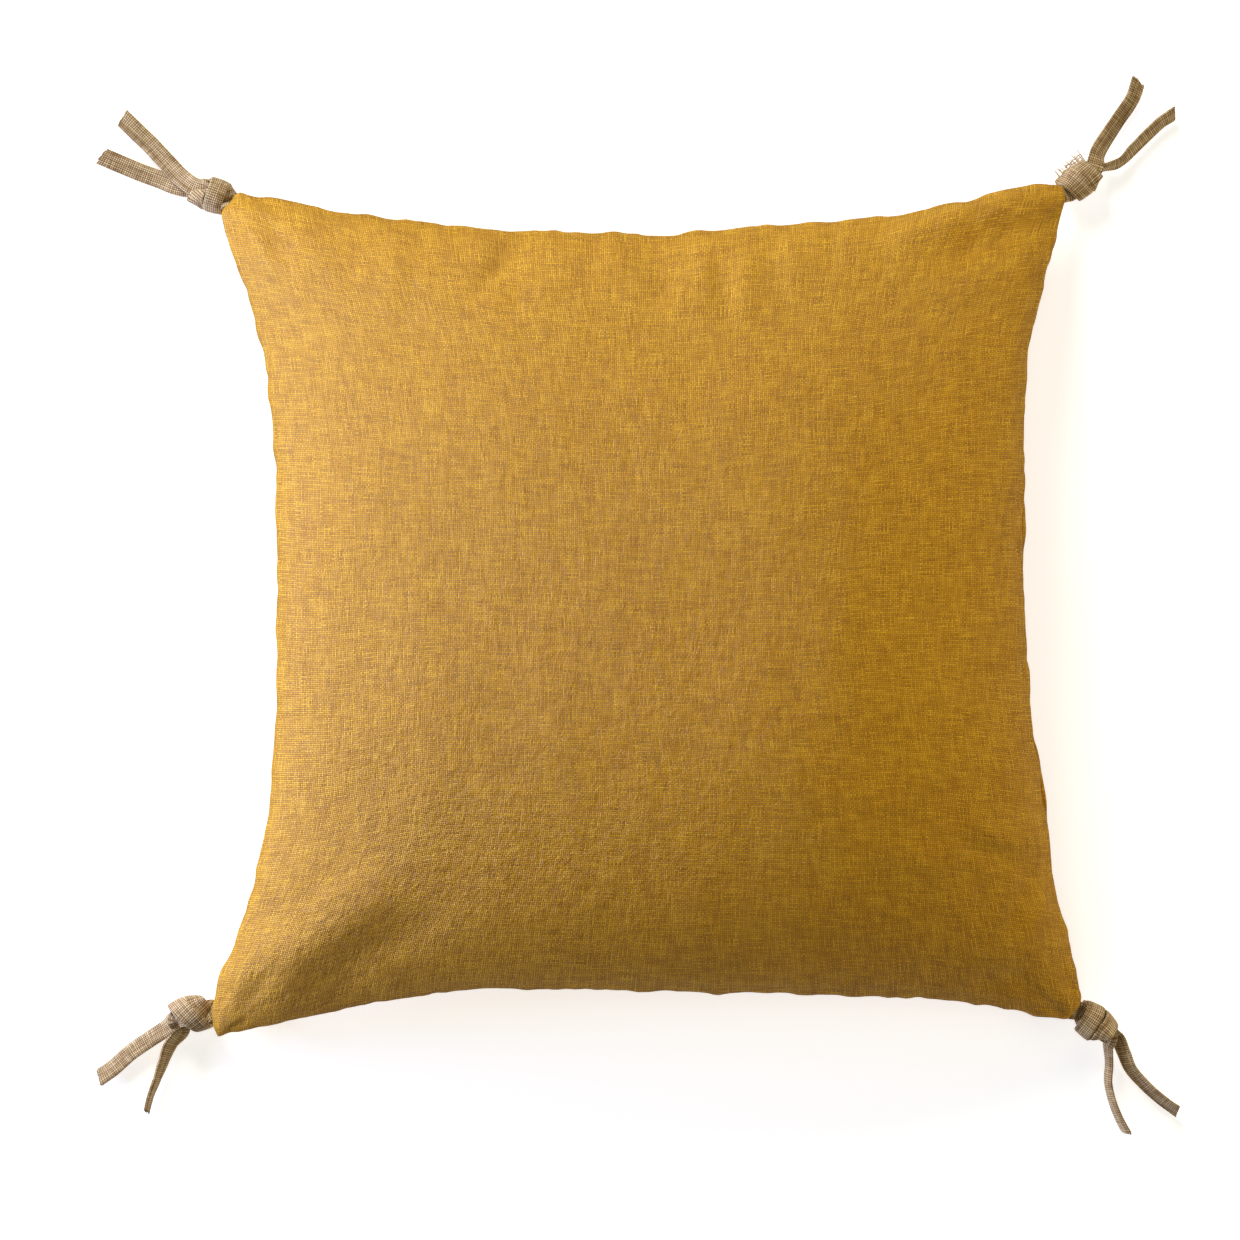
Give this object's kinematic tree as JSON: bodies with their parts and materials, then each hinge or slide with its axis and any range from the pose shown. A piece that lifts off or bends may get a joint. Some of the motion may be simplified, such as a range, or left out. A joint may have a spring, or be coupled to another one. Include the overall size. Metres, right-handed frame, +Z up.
{
  "type": "square cushion with knotted corner ties",
  "caption": "Plump square linen cushion with drawn-in sides and a knotted flat tape tie with two cut tails at each corner.",
  "frame": {"origin": "on the surface that the cushion lies on, under the middle of the cover", "axes": "+Z up out of the front panel, +X towards the cover's right side, +Y towards its top side"},
  "size_m": [0.5735, 0.5568, 0.128],
  "materials": {
    "washed_linen": "washed plain-weave linen, matt, softly crumpled",
    "jute_tape": "coarse plain-weave jute tape, matt, natural"
  },
  "bodies": {
    "root": {"cushion": "washed_linen", "tie_top_left": "jute_tape", "tie_top_right": "jute_tape", "tie_bottom_left": "jute_tape", "tie_bottom_right": "jute_tape"}
  },
  "joints": []
}
